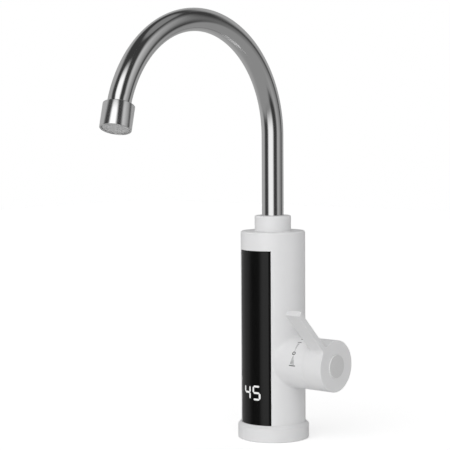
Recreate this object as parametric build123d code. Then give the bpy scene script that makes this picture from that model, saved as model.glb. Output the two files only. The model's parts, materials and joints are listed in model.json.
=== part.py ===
from build123d import *
import math
import os

# Electric instant water heater tap: a countertop casing that holds the valve and the heater,
# a swivelling gooseneck spout on top, a lever handle on the right side and a display in front.
# Millimetres and degrees. The origin is the centre of the base's underside, +Z is up,
# the display and the spout face -Y, and the handle's axis points along +X.
# Angles round the casing are counted from the front (-Y) towards the handle (+X).

# Fits and gaps
running_fit = 0.06
slip_gap = 0.2
seat_gap = 0.1
moving_gap = 0.3
overcut = 2.0

# Casing and base
casing_radius = 28.2
casing_top = 182.0
casing_wall = 2.6
casing_edge_round = 1.7
ring_lip = 3.0
ring_height = 14.5
ring_chamfer = 2.5
ring_foot_round = 1.0
ring_flange_edge = 0.4
ring_flange_thickness = 3.2
gasket_thickness = 1.8
gasket_width = 3.5
foot_land = 1.3
plate_thickness = 3.0
base_screw_inset = 4.9
base_screw_radius = 1.45
base_screw_head_radius = 2.5
base_screw_head_height = 1.4
base_screw_count = 4
base_screw_angle = 45.0

# Fixing points and lead-ins under the base
stud_spacing = 33.6
stud_hole_radius = 2.1
stud_boss_radius = 3.6
stud_boss_height = 6.0
inlet_thread_radius = 9.3
inlet_thread_depth = 14.0
inlet_shank_radius = 10.8
inlet_flange_radius = 12.6
inlet_neck_radius = 6.0
inlet_shank_length = 16.0
filter_radius = 8.4
filter_thickness = 1.5
filter_hole_radius = 0.6
filter_hole_pitch = 2.2
gland_radius = 4.0
gland_bore_radius = 3.3
gland_head_radius = 4.8
gland_head_height = 3.2
gland_nut_height = 2.5
gland_rise = 7.0
earth_inset = 8.1
earth_screw_radius = 1.5
earth_washer_radius = 2.8
earth_washer_thickness = 1.0
earth_head_radius = 2.2
earth_head_height = 2.2
earth_slot = 0.8

# Valve block
valve_inlet_radius = 12.6
valve_inlet_height = 16.0
valve_column_radius = 13.0
chamber_radius = 12.6
chamber_back = -12.0
chamber_mouth = 22.0
chamber_floor = 2.0
deck_side_gap = 0.6
deck_thickness = 8.0
water_way_radius = 3.6
upper_way_radius = 3.2
water_way_offset = -4.0
port_radius = 2.2
port_offset = 4.0
crossing_depth = 4.4
riser_inset = 1.0
riser_radius = 3.0
riser_bore_radius = 2.0

# Cartridge and spindle
cartridge_radius = 9.4
cartridge_flange_radius = 12.2
cartridge_flange_thickness = 2.0
disc_thickness = 3.0
disc_pocket_radius = 7.8
moving_disc_radius = 7.4
spindle_radius = 4.6
spindle_flange_radius = 6.9
spindle_flange_thickness = 2.4
spindle_step = 46.0
spindle_end = 61.5
spindle_hex_radius = 4.2
spindle_ring_depth = 3.0
spindle_ring_section = 0.65
nut_radius = 14.9
nut_length = 9.0
nut_wall = 3.0
nut_hole_radius = 6.2

# Handle
handle_height = 68.9
boss_radius = 22.3
boss_end = 49.5
boss_wall = 2.6
boss_end_wall = 3.0
boss_end_hole_radius = 15.8
boss_blend = 2.5
knob_end = 69.0
knob_face_thickness = 4.5
knob_wall = 2.6
knob_hub_radius = 8.0
lever_angle = 45.0
lever_reach = 70.0
lever_thickness = 5.0
lever_width = 14.2
lever_root_round = 4.0
knob_edge = 0.3
knob_front_round = 0.7
cap_radius = 10.2
cap_proud = 0.8
cap_depth = 3.0
cap_edge = 0.3
knob_screw_radius = 1.9
knob_screw_head_radius = 3.5
knob_screw_head_height = 2.4
knob_screw_length = 10.0
knob_screw_key_radius = 1.7

# Printed scale on the handle boss: angle from straight up towards the front, and width
scale_place = 38.6
scale_depth = 0.3
scale_stroke = 0.85
scale_outer_mark = (18.8, 3.2)
scale_cold_bar = (31.0, 4.0)
scale_cold_ticks = (35.6, 53.7, 2.0, 0.9)
scale_off_angle = 61.3
scale_off_radius = 1.7
scale_hot_ticks = (68.8, 85.0, 1.0, 4.4)
scale_hot_bar = (89.0, 6.6)
scale_tick_count = 7
scale_tick_stroke = 0.45

# Display window
lens_centre = -3.0
lens_half_angle = 38.2
lens_bottom = 9.0
lens_top = 165.8
lens_thickness = 1.6
lens_bevel_width = 2.0
lens_bevel_depth = 0.5
lens_ledge = 2.4
notch_height = 31.0
notch_radius = 3.5
notch_width = 0.7
notch_depth = 1.0
digit_centre_height = 42.6
digit_height = 13.0
digit_width = 8.0
digit_pitch = 10.2
digit_stroke = 1.7
digit_joint_gap = 0.12
digit_depth = 0.4
module_width = 21.6
module_height = 18.5
module_well_depth = 1.0
board_thickness = 1.6
display_board_inset = 8.8
display_board_width = 22.0
display_board_margin = 6.0
control_board_inset = 7.4
control_board_side_gap = 1.1
control_board_margin = 10.0
control_board_headroom = 16.0
board_post_radius = 2.5
board_post_low = 28.0
board_post_high = 60.0
board_screw_radius = 1.1
board_screw_head_radius = 2.0
board_screw_head_height = 1.2
board_screw_grip = 2.0
component_height = 3.4
relay_width = 17.0
relay_height = 16.0
triac_width = 10.0
triac_height = 9.5
capacitor_width = 4.4
capacitor_height = 5.0
capacitor_pitch = 11.0
component_gap = 2.5

# Flow switch
membrane_seat = 1.5
membrane_thickness = 0.8
pressure_pocket_edge = 0.5
pressure_pocket_depth = 1.5
bonnet_side_gap = 1.5
bonnet_wall = 3.5
bonnet_height = 9.2
bonnet_roof = 2.2
plunger_head_radius = 6.0
plunger_head_height = 2.0
plunger_stem_radius = 2.5
plunger_stem_rise = 2.0
plunger_travel = 1.2
spring_wire_radius = 0.35
spring_radius = 4.2
spring_turns = 3
switch_length = 19.8
switch_width = 6.4
switch_height = 9.0
switch_button_length = 3.0
switch_button_width = 1.6
switch_button_proud = 1.4
switch_button_inside = 1.2
switch_screw_spacing = 9.5
switch_screw_radius = 1.1
switch_screw_head_radius = 1.9
switch_screw_head_height = 1.3
switch_screw_rise = 6.3
switch_bracket_thickness = 2.0
switch_tab_height = 1.8
switch_tab_width = 3.2
switch_tab_pitch = 7.5
tab_thickness = 0.8

# Heater
switch_headroom = 0.7
wiring_room = 6.4
tank_side_gap = 1.0
tank_rim = 3.1
tank_wall = 1.5
tank_flange_thickness = 2.2
post_radius = 2.2
post_inset = 2.8
post_count = 3
post_angle = -90.0
lid_thickness = 5.0
tank_seal_inset = 0.6
tank_seal_section = 0.8
tank_screw_inset = 1.6
tank_screw_radius = 0.9
tank_screw_head_radius = 1.5
tank_screw_head_height = 1.4
tank_screw_count = 6
tank_screw_angle = 30.0
element_radius = 1.6
element_half_span = 7.0
element_clearance = 4.6
element_rise = 1.0
insulator_radius = 2.2
insulator_height = 3.0
terminal_radius = 1.0
terminal_height = 6.0
cutout_radius = 4.2
cutout_height = 5.0
cutout_tab_width = 3.0
cutout_tab_height = 5.0
cutout_tab_pitch = 4.4
sensor_radius = 1.3
sensor_depth = 10.0
sensor_head_height = 4.0

# Swivel and spout
neck_radius = 13.0
neck_bore_radius = 11.06
neck_depth = 21.2
neck_way_radius = 5.0
collar_radius = 15.9
collar_height = 13.4
collar_roof = 3.0
collar_edge_round = 1.4
slip_ring_thickness = 1.8
foot_socket_depth = 10.4
foot_bore_radius = 7.5
spout_ring_section = 0.7
spout_ring_first = 3.3
spout_ring_pitch = 4.0
spout_ring_groove = 1.5
tube_radius = 9.5
tube_wall = 1.0
spout_rise = 69.2
arch_radius = 96.2
arch_angle = 160.0
side_bend_radius = 40.0
side_bend_angle = 7.4
tube_tail = 13.8

# Aerator, measured along its own axis from the end of the tube's side bend
aerator_radius = 12.7
aerator_start = 2.3
aerator_length = 20.4
aerator_edge = 0.6
aerator_face_radius = 11.4
aerator_recess = 1.0
aerator_washer_thickness = 1.5
aerator_washer_bore = 7.5
insert_wall = 1.4
screen_thickness = 0.6
screen_rim = 1.0
screen_hole_radius = 0.55
screen_hole_pitch = 2.1

# Places worked out from the sizes above
flange_top = gasket_thickness + ring_flange_thickness
plate_top = flange_top + plate_thickness
casing_inner = casing_radius - casing_wall
ring_radius = casing_radius + ring_lip
gasket_inner_radius = ring_radius - foot_land - seat_gap - gasket_width
base_screw_circle = casing_radius - base_screw_inset
ring_flange_bore = base_screw_circle - base_screw_head_radius - ring_flange_edge
gland_offset = (valve_inlet_radius + casing_inner) / 2
earth_offset = casing_inner - earth_inset
inlet_top = flange_top + inlet_shank_length
knob_back = boss_end + moving_gap
cartridge_end = chamber_mouth + cartridge_flange_thickness
nut_start = cartridge_end + nut_wall - nut_length
disc_end = chamber_floor + 2 * disc_thickness
board_post_heights = (board_post_low, board_post_high)
display_board_face = casing_inner - display_board_inset
control_board_face = casing_inner - control_board_inset
control_board_back = control_board_face + board_thickness
tank_flange_radius = casing_inner - tank_side_gap
tank_radius = tank_flange_radius - tank_rim
cavity_radius = tank_radius - tank_wall
riser_distance = cavity_radius - riser_bore_radius - riser_inset
bonnet_radius = riser_distance - riser_radius - bonnet_side_gap
bonnet_cavity_radius = bonnet_radius - bonnet_wall
fitting_circle = (neck_radius + insulator_radius + cavity_radius - element_radius) / 2
element_offset = math.sqrt(fitting_circle ** 2 - element_half_span ** 2)
collar_top = casing_top + collar_height
foot_top = collar_top - collar_roof - slip_gap - slip_ring_thickness
neck_top = foot_top - slip_gap
neck_floor = neck_top - neck_depth
foot_radius = neck_bore_radius - running_fit
foot_bottom = neck_floor + slip_gap
foot_socket_bottom = foot_top - foot_socket_depth
spout_ring_places = (foot_bottom + spout_ring_first, foot_bottom + spout_ring_first + spout_ring_pitch)
arch_start = collar_top + spout_rise
deck_bottom = handle_height + nut_radius + moving_gap
deck_top = deck_bottom + deck_thickness
membrane_top = deck_top + membrane_thickness
bonnet_top = membrane_top + bonnet_height
bonnet_ceiling = bonnet_top - bonnet_roof
button_tip = bonnet_top + plunger_stem_rise
switch_bottom = button_tip + switch_button_proud
switch_screw_height = switch_bottom + switch_screw_rise
tank_bottom = switch_bottom + switch_height + switch_tab_height + switch_headroom
terminal_top = casing_top - casing_wall - wiring_room
lid_top = terminal_top - terminal_height - insulator_height - element_rise
tank_top = lid_top - lid_thickness
element_bottom = tank_bottom + tank_flange_thickness + element_clearance
display_front = display_board_face + board_thickness
module_front = math.sqrt(casing_inner ** 2 - (module_width / 2) ** 2)

ON_END = (Align.CENTER, Align.CENTER, Align.MIN)


def disc(radius, bottom, top, x=0.0, y=0.0):
    """Upright round bar between two heights."""
    return Pos(x, y, bottom) * Cylinder(radius, top - bottom, align=ON_END)


def pipe(outer, inner, bottom, top, x=0.0, y=0.0):
    """Upright round tube between two heights."""
    return disc(outer, bottom, top, x, y) - disc(inner, bottom, top, x, y)


def block(x0, x1, y0, y1, z0, z1):
    """Rectangular block between two corners."""
    centre = Pos((x0 + x1) / 2, (y0 + y1) / 2, (z0 + z1) / 2)
    return centre * Box(x1 - x0, y1 - y0, z1 - z0)


def along_handle(part):
    """Lays a part that stands on the Z axis along the handle's axis, height becoming X."""
    return Pos(0, 0, handle_height) * Rot(0, 90, 0) * part


def along_depth(part):
    """Lays a part that stands on the Z axis towards the back, height becoming Y."""
    return Rot(-90, 0, 0) * part


def from_front(radius, angle):
    """Point at a distance from the casing's axis, by its angle from the front."""
    turn = math.radians(angle)
    return (radius * math.sin(turn), -radius * math.cos(turn))


def level_rims(part, radius, height):
    """The level round edges of one radius and height."""
    return [edge for edge in part.edges().filter_by(GeomType.CIRCLE)
            if abs(edge.radius - radius) < 0.01 and abs(edge.arc_center.Z - height) < 0.01]


def round_rims(part, radius, height, size):
    return fillet(level_rims(part, radius, height), size)


def bevel_rims(part, radius, height, size):
    return chamfer(level_rims(part, radius, height), size)


def turned(outline):
    """Revolves an outline of (radius, height) points round the casing's axis."""
    return revolve(Plane.XZ * make_face(Polyline(*outline, close=True)), Axis.Z)


def o_ring(radius, section, height):
    """Seal ring that lies level."""
    return Pos(0, 0, height) * Torus(radius, section)


def screw(radius, head_radius, head_height, length):
    """Screw on the Z axis: its shank runs down from 0 and its head stands on 0."""
    return disc(radius, -length, 0) + disc(head_radius, 0, head_height)


def arc_band(outer, inner, start, end):
    """Plan of a curved band between two radii and two angles from the front."""
    middle = (start + end) / 2
    return make_face([
        ThreePointArc(from_front(outer, start), from_front(outer, middle), from_front(outer, end)),
        Line(from_front(outer, end), from_front(inner, end)),
        ThreePointArc(from_front(inner, end), from_front(inner, middle), from_front(inner, start)),
        Line(from_front(inner, start), from_front(outer, start)),
    ])


def around(radius, count, first):
    """Places evenly round the casing's axis, the first one at an angle from +X."""
    return PolarLocations(radius, count, first)


def hole_grid(radius, hole, pitch):
    """Plan of small round holes on a triangular grid, each well inside a circle."""
    rows = int(radius / pitch) + 1
    places = []
    for row in range(-rows, rows + 1):
        for column in range(-rows, rows + 1):
            x = (column + 0.5 * (row % 2)) * pitch
            y = row * pitch * math.sqrt(3) / 2
            if math.hypot(x, y) < radius - 1.5 * hole:
                places.append((x, y))
    return [Pos(x, y) * Circle(hole) for x, y in places]


# Casing, base and display window

def window_plan(half_angle, outer, inner):
    return arc_band(outer, inner, lens_centre - half_angle, lens_centre + half_angle)


def make_lens_blank():
    """Curved cover with long bevels on its two upright edges."""
    start = lens_centre - lens_half_angle
    end = lens_centre + lens_half_angle
    bevel = math.degrees(lens_bevel_width / casing_radius)
    shoulder = casing_radius - lens_bevel_depth
    back = casing_radius - lens_thickness
    plan = make_face([
        Line(from_front(shoulder, start), from_front(casing_radius, start + bevel)),
        ThreePointArc(from_front(casing_radius, start + bevel), from_front(casing_radius, lens_centre),
                      from_front(casing_radius, end - bevel)),
        Line(from_front(casing_radius, end - bevel), from_front(shoulder, end)),
        Line(from_front(shoulder, end), from_front(back, end)),
        ThreePointArc(from_front(back, end), from_front(back, lens_centre), from_front(back, start)),
        Line(from_front(back, start), from_front(shoulder, start)),
    ])
    lens = Pos(0, 0, lens_bottom) * extrude(plan, lens_top - lens_bottom)
    return bevel_rims(lens, casing_radius, lens_top, lens_bevel_depth)


def segment_bar(length, upright):
    """One bar of a seven-segment figure, with pointed ends."""
    half = length / 2 - digit_joint_gap
    side = digit_stroke / 2
    bar = Polyline((-half, 0), (-half + side, side), (half - side, side),
                   (half, 0), (half - side, -side), (-half + side, -side), close=True)
    face = make_face(bar)
    return Rot(0, 0, 90) * face if upright else face


def figure_bars(lit, x):
    """Lit bars of one figure, drawn upright in a plan whose Y is up."""
    across = digit_width - digit_stroke
    rise = (digit_height - digit_stroke) / 2
    places = {
        "top": (0, rise, False), "middle": (0, 0, False), "bottom": (0, -rise, False),
        "upper_left": (-across / 2, rise / 2, True), "upper_right": (across / 2, rise / 2, True),
        "lower_left": (-across / 2, -rise / 2, True), "lower_right": (across / 2, -rise / 2, True),
    }
    bars = []
    for name in lit:
        dx, dz, upright = places[name]
        bars.append(Pos(x + dx, dz) * segment_bar(rise if upright else across, upright))
    return bars


def make_digits():
    """Lit bars of a two-figure reading, let into the outer skin of the lens."""
    four = figure_bars(("upper_left", "middle", "upper_right", "lower_right"), -digit_pitch / 2)
    five = figure_bars(("top", "upper_left", "middle", "lower_right", "bottom"), digit_pitch / 2)
    skin = extrude(window_plan(lens_half_angle, casing_radius, casing_radius - digit_depth),
                   digit_height * 2)
    skin = Pos(0, 0, digit_centre_height - digit_height) * skin
    front = Plane(origin=(0, 0, digit_centre_height), x_dir=(1, 0, 0), z_dir=(0, -1, 0))
    bars = []
    for bar in four + five:
        prism = extrude(front * bar, casing_radius + 1)
        bars.append((Rot(0, 0, lens_centre) * prism) & skin)
    return bars


def make_scale_marks():
    """Marks of the water scale, let into the skin of the handle boss."""
    reach = scale_hot_bar[1]
    skin = pipe(boss_radius, boss_radius - scale_depth, scale_place - reach, scale_place + reach)
    skin = along_handle(skin)

    def mark(angle, width, stroke):
        bar = Pos(scale_place, 0, boss_radius) * Box(width, stroke, 2)
        return (Pos(0, 0, handle_height) * Rot(angle, 0, 0) * bar) & skin

    marks = [mark(*scale_outer_mark, scale_stroke), mark(*scale_cold_bar, scale_stroke),
             mark(*scale_hot_bar, scale_stroke)]
    for first, last, width_first, width_last in (scale_cold_ticks, scale_hot_ticks):
        for tick in range(scale_tick_count):
            share = tick / (scale_tick_count - 1)
            angle = first + (last - first) * share
            marks.append(mark(angle, width_first + (width_last - width_first) * share, scale_tick_stroke))
    ring = pipe(scale_off_radius, scale_off_radius - scale_stroke, -1, 1)
    ring = Pos(0, 0, handle_height) * Rot(scale_off_angle, 0, 0) * Pos(scale_place, 0, boss_radius) * ring
    marks.append(ring & skin)
    return marks


def make_casing(marks):
    """Outer casing: an upright tube with a roof, a side boss for the handle and a front window."""
    casing = disc(casing_radius, flange_top, casing_top) + along_handle(disc(boss_radius, 0, boss_end))
    seams = [edge for edge in casing.edges() if edge.geom_type not in (GeomType.LINE, GeomType.CIRCLE)]
    casing = fillet(seams, boss_blend)
    casing = round_rims(casing, casing_radius, casing_top, casing_edge_round)
    casing -= disc(casing_inner, flange_top, casing_top - casing_wall)
    casing -= along_handle(disc(boss_radius - boss_wall, 0, boss_end - boss_end_wall))
    casing -= along_handle(disc(boss_end_hole_radius, 0, boss_end))
    casing -= disc(neck_radius + slip_gap, 0, casing_top)
    gap_angle = math.degrees(seat_gap / casing_radius)
    ledge_angle = math.degrees(lens_ledge / casing_radius)
    seat_floor = casing_radius - lens_thickness - seat_gap
    seat = window_plan(lens_half_angle + gap_angle, casing_radius + overcut, seat_floor)
    casing -= Pos(0, 0, lens_bottom - seat_gap) * extrude(seat, lens_top - lens_bottom + 2 * seat_gap)
    view = window_plan(lens_half_angle - ledge_angle, casing_radius, casing_inner - overcut)
    casing -= Pos(0, 0, lens_bottom + lens_ledge) * extrude(view, lens_top - lens_bottom - 2 * lens_ledge)
    edge_angle = lens_centre + lens_half_angle + math.degrees((notch_width - notch_radius) / casing_radius)
    notch = Pos(0, 0, casing_radius - notch_depth) * Cylinder(notch_radius, 2 * notch_depth, align=ON_END)
    casing -= Pos(0, 0, notch_height) * Rot(0, 0, edge_angle) * Rot(90, 0, 0) * notch
    for mark in marks:
        casing -= mark
    return casing


def make_base_ring():
    land = ring_radius - foot_land
    bore = casing_radius + slip_gap
    ring = turned([(land, 0), (ring_radius, 0), (ring_radius, ring_height - ring_chamfer),
                   (ring_radius - ring_chamfer, ring_height), (bore, ring_height), (bore, flange_top),
                   (ring_flange_bore, flange_top), (ring_flange_bore, gasket_thickness),
                   (land, gasket_thickness)])
    ring = round_rims(ring, ring_radius, 0, ring_foot_round)
    for place in base_screw_places():
        ring -= place * base_screw(slip_gap)
    for side in (-1, 1):
        ring -= disc(stud_boss_radius + moving_gap, 0, flange_top, side * stud_spacing / 2)
    return ring - disc(gland_head_radius + slip_gap, 0, flange_top, 0, gland_offset)


def base_screw_places():
    return around(base_screw_circle, base_screw_count, base_screw_angle)


def base_screw(gap=0.0):
    """Countersunk screw that comes up from under the base; gap widens it to its hole."""
    cone = Pos(0, 0, gasket_thickness) * Cone(base_screw_head_radius + gap, base_screw_radius + gap,
                                               base_screw_head_height, align=ON_END)
    return cone + disc(base_screw_radius + gap, gasket_thickness + base_screw_head_height, plate_top)


def make_base_screws():
    return [place * base_screw() for place in base_screw_places()]


def make_gasket():
    return pipe(ring_radius - foot_land - seat_gap, gasket_inner_radius, 0, gasket_thickness)


def make_base_plate():
    """Floor of the tap, with two threaded bosses for the fixing studs."""
    plate = disc(casing_inner - moving_gap, flange_top, plate_top)
    plate -= disc(inlet_shank_radius + seat_gap, flange_top, plate_top)
    plate -= disc(gland_radius + seat_gap, flange_top, plate_top, 0, gland_offset)
    plate -= disc(earth_screw_radius, flange_top, plate_top, 0, -earth_offset)
    for side in (-1, 1):
        x = side * stud_spacing / 2
        plate += disc(stud_boss_radius, plate_top, plate_top + stud_boss_height, x)
        plate -= disc(stud_hole_radius, flange_top, plate_top + stud_boss_height, x)
    for place in base_screw_places():
        plate -= place * disc(base_screw_radius, flange_top, plate_top)
    return plate


def make_inlet_bush():
    """Threaded inlet whose mouth is level with the underside of the base."""
    bush = disc(inlet_flange_radius, 0, flange_top)
    bush += disc(inlet_shank_radius, flange_top, inlet_top)
    bush -= disc(inlet_thread_radius, 0, inlet_thread_depth)
    bush -= disc(filter_radius + seat_gap, 0, inlet_thread_depth + filter_thickness)
    bush -= disc(inlet_neck_radius, 0, inlet_top)
    return bush


def make_inlet_filter():
    """Strainer in a pocket above the thread."""
    holes = hole_grid(inlet_neck_radius, filter_hole_radius, filter_hole_pitch)
    return Pos(0, 0, inlet_thread_depth) * extrude(Circle(filter_radius) - holes, filter_thickness)


def make_cable_gland():
    """Lead-in for the power cord, clamped in the floor by a nut."""
    top = flange_top + gland_rise
    gland = disc(gland_head_radius, flange_top - gland_head_height, flange_top, 0, gland_offset)
    gland += disc(gland_radius, flange_top, top, 0, gland_offset)
    gland += disc(gland_head_radius, plate_top, plate_top + gland_nut_height, 0, gland_offset)
    return gland - disc(gland_bore_radius, 0, top, 0, gland_offset)


def make_earth_terminal():
    washer_top = plate_top + earth_washer_thickness
    head_top = washer_top + earth_head_height
    terminal = disc(earth_screw_radius, flange_top, plate_top, 0, -earth_offset)
    terminal += disc(earth_washer_radius, plate_top, washer_top, 0, -earth_offset)
    terminal += disc(earth_head_radius, washer_top, head_top, 0, -earth_offset)
    return terminal - block(-earth_slot / 2, earth_slot / 2, -earth_offset - earth_head_radius,
                            -earth_offset + earth_head_radius, head_top - earth_slot, head_top)


# Valve block and what turns in it

def make_valve_body():
    """Brass block: inlet socket, column, cartridge chamber along X and a deck that carries the heater."""
    body = disc(valve_inlet_radius, plate_top, plate_top + valve_inlet_height)
    body += disc(valve_column_radius, plate_top + valve_inlet_height, deck_top)
    body += along_handle(disc(chamber_radius, chamber_back, chamber_mouth))
    body += disc(casing_inner - deck_side_gap, deck_bottom, deck_top)
    for height in board_post_heights:
        front = along_depth(disc(board_post_radius, -display_board_face, 0))
        body += Rot(0, 0, lens_centre) * Pos(0, 0, height) * front
        body += Pos(0, 0, height) * along_depth(disc(board_post_radius, 0, control_board_face))
    body -= disc(inlet_shank_radius + seat_gap, plate_top, inlet_top)
    body -= along_handle(disc(cartridge_radius + seat_gap, chamber_floor, chamber_mouth))
    body -= disc(water_way_radius, inlet_top, handle_height - port_offset, water_way_offset)
    body -= disc(upper_way_radius, handle_height + port_offset, deck_top, water_way_offset)
    for side in (-1, 1):
        port = disc(port_radius, water_way_offset, chamber_floor)
        body -= Pos(0, 0, side * port_offset) * along_handle(port)
    cross_height = deck_top - crossing_depth
    crossing = along_depth(disc(riser_bore_radius - slip_gap, 0, riser_distance))
    body -= Pos(water_way_offset, 0, cross_height) * crossing
    body -= disc(riser_bore_radius, cross_height, deck_top, water_way_offset, riser_distance)
    pocket_radius = bonnet_cavity_radius - pressure_pocket_edge
    body -= disc(pocket_radius, deck_top - pressure_pocket_depth, deck_top)
    hole_end = valve_column_radius - board_screw_grip
    for height in board_post_heights:
        front = disc(board_screw_radius, -display_board_face, -hole_end)
        body -= Rot(0, 0, lens_centre) * Pos(0, 0, height) * along_depth(front)
        body -= Pos(0, 0, height) * along_depth(disc(board_screw_radius, hole_end, control_board_face))
    return body


def make_fixed_disc():
    ceramic = disc(disc_pocket_radius - seat_gap, chamber_floor, chamber_floor + disc_thickness)
    for side in (-1, 1):
        ceramic -= disc(port_radius, chamber_floor, chamber_floor + disc_thickness, side * port_offset)
    return along_handle(ceramic)


def make_moving_disc():
    start = chamber_floor + disc_thickness
    ceramic = disc(moving_disc_radius, start, start + disc_thickness)
    ceramic -= block(-port_offset - port_radius, port_offset + port_radius, -port_radius, port_radius,
                     start, start + disc_thickness / 2)
    return along_handle(ceramic)


def make_cartridge_body():
    """Sleeve that holds the ceramic discs and guides the spindle."""
    pocket_end = disc_end + spindle_flange_thickness + slip_gap
    sleeve = disc(cartridge_radius, chamber_floor, chamber_mouth)
    sleeve += disc(cartridge_flange_radius, chamber_mouth, cartridge_end)
    sleeve -= disc(disc_pocket_radius, chamber_floor, pocket_end)
    sleeve -= disc(spindle_radius + running_fit, chamber_floor, cartridge_end)
    return along_handle(sleeve)


def make_cartridge_nut():
    """Cap nut that clamps the cartridge's flange on the chamber's mouth."""
    nut = Pos(0, 0, nut_start) * extrude(RegularPolygon(nut_radius, 12), nut_length)
    nut -= disc(chamber_radius + seat_gap, nut_start, cartridge_end)
    nut -= disc(nut_hole_radius, nut_start, nut_start + nut_length)
    return along_handle(nut)


def make_spindle():
    """Valve stem: a flange that turns the moving disc, a sealed shaft and a hexagon for the knob."""
    stem = disc(spindle_flange_radius, disc_end, disc_end + spindle_flange_thickness)
    stem += disc(spindle_radius, disc_end, spindle_step)
    hexagon = extrude(RegularPolygon(spindle_hex_radius, 6), spindle_end - spindle_step)
    stem += Pos(0, 0, spindle_step) * hexagon
    half = spindle_ring_section + seat_gap
    place = chamber_mouth - spindle_ring_depth
    stem -= pipe(spindle_radius + 1, spindle_radius - 2 * spindle_ring_section, place - half, place + half)
    stem -= disc(knob_screw_radius, spindle_end - knob_screw_length, spindle_end)
    return along_handle(stem)


def make_spindle_ring():
    centre = spindle_radius - spindle_ring_section
    return along_handle(o_ring(centre, spindle_ring_section, chamber_mouth - spindle_ring_depth))


def lever_profile():
    """End view of the knob: a circle and a bar that points along +X, joined by rounded corners."""
    outline = Circle(boss_radius) + Pos(lever_reach / 2, 0) * Rectangle(lever_reach, lever_thickness)
    root = math.sqrt(boss_radius ** 2 - (lever_thickness / 2) ** 2)
    corners = [point for point in outline.vertices() if abs(point.X - root) < 0.01]
    return fillet(corners, lever_root_round)


def make_knob():
    """Round knob with a flat bar lever, both ending in one flat face."""
    bar = Pos(0, 0, knob_end - lever_width) * extrude(lever_profile(), lever_width)
    bar = chamfer(bar.faces().sort_by(Axis.Z)[0].edges(), knob_edge)
    bar = fillet(bar.faces().sort_by(Axis.Z)[-1].edges(), knob_front_round)
    knob = along_handle(Rot(0, 0, 180 + lever_angle) * bar)
    knob += along_handle(disc(boss_radius, knob_back, knob_end - lever_width / 2))
    face_back = knob_end - knob_face_thickness
    knob -= along_handle(pipe(boss_radius - knob_wall, knob_hub_radius, knob_back, face_back))
    hexagon = RegularPolygon(spindle_hex_radius + running_fit, 6)
    knob -= along_handle(Pos(0, 0, knob_back) * extrude(hexagon, spindle_end - knob_back))
    head_seat = knob_end - cap_depth - knob_screw_head_height
    knob -= along_handle(disc(knob_screw_radius + seat_gap, spindle_end, knob_end))
    knob -= along_handle(disc(knob_screw_head_radius + seat_gap, head_seat, knob_end))
    knob -= along_handle(disc(cap_radius + seat_gap, knob_end - cap_depth, knob_end))
    return knob


def make_knob_cap():
    cap = disc(cap_radius, knob_end - cap_depth, knob_end + cap_proud)
    return along_handle(bevel_rims(cap, cap_radius, knob_end + cap_proud, cap_edge))


def make_knob_screw():
    seat = knob_end - cap_depth - knob_screw_head_height
    length = seat - spindle_end + knob_screw_length
    bolt = screw(knob_screw_radius, knob_screw_head_radius, knob_screw_head_height, length)
    key = extrude(RegularPolygon(knob_screw_key_radius, 6), knob_screw_head_height)
    bolt -= Pos(0, 0, knob_screw_head_height / 2) * key
    return along_handle(Pos(0, 0, seat) * bolt)


# Display and control electronics

def display_frame(part):
    """Turns a part built for a window at the very front to the window's own angle."""
    return Rot(0, 0, lens_centre) * part


def make_display_board():
    half = display_board_width / 2
    board = block(-half, half, -display_front, -display_board_face,
                  board_post_low - display_board_margin, board_post_high + display_board_margin)
    hole = along_depth(disc(board_screw_radius, -display_front, -display_board_face))
    for height in board_post_heights:
        board -= Pos(0, 0, height) * hole
    return display_frame(board)


def make_display_module():
    """Two-figure light block with a shallow well behind each figure."""
    half = module_width / 2
    bottom = digit_centre_height - module_height / 2
    module = block(-half, half, -module_front, -display_front, bottom, bottom + module_height)
    for side in (-1, 1):
        left = side * digit_pitch / 2 - digit_width / 2
        module -= block(left, left + digit_width, -module_front, module_well_depth - module_front,
                        digit_centre_height - digit_height / 2, digit_centre_height + digit_height / 2)
    hole = along_depth(disc(board_screw_head_radius + slip_gap, -module_front, -display_front))
    for height in board_post_heights:
        module -= Pos(0, 0, height) * hole
    return display_frame(module)


def board_screws(face, outwards):
    """Screws that hold a board to its posts, heads on the board's outer side."""
    length = face - valve_column_radius + board_screw_grip
    one = screw(board_screw_radius, board_screw_head_radius, board_screw_head_height, length)
    turn = Rot(-90, 0, 0) if outwards > 0 else Rot(90, 0, 0)
    return [Pos(0, outwards * face, height) * turn * one for height in board_post_heights]


def make_display_screws():
    return [display_frame(part) for part in board_screws(display_front, -1)]


def make_control_board():
    half = math.sqrt((casing_inner - control_board_side_gap) ** 2 - control_board_back ** 2)
    board = block(-half, half, control_board_face, control_board_back,
                  board_post_low - control_board_margin, board_post_high + control_board_headroom)
    hole = along_depth(disc(board_screw_radius, control_board_face, control_board_back))
    for height in board_post_heights:
        board -= Pos(0, 0, height) * hole
    return board


def make_control_screws():
    return board_screws(control_board_back, 1)


def make_board_components():
    """Switching device, relay and capacitors soldered on the outer side of the control board."""
    outer = control_board_back + component_height

    def component(x, width, bottom, top):
        return block(x - width / 2, x + width / 2, control_board_back, outer, bottom, top)

    screw_space = board_screw_head_radius + component_gap
    middle = (board_post_low + board_post_high) / 2
    relay = component(0, relay_width, middle - relay_height / 2, middle + relay_height / 2)
    triac_bottom = board_post_high + screw_space
    triac = component(0, triac_width, triac_bottom, triac_bottom + triac_height)
    capacitor_top = board_post_low - screw_space + component_gap / 2
    capacitors = [component(x, capacitor_width, capacitor_top - capacitor_height, capacitor_top)
                  for x in (-capacitor_pitch / 2, capacitor_pitch / 2)]
    return [relay, triac] + capacitors


# Flow switch

def make_membrane():
    return disc(bonnet_radius - membrane_seat, deck_top, membrane_top)


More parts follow.
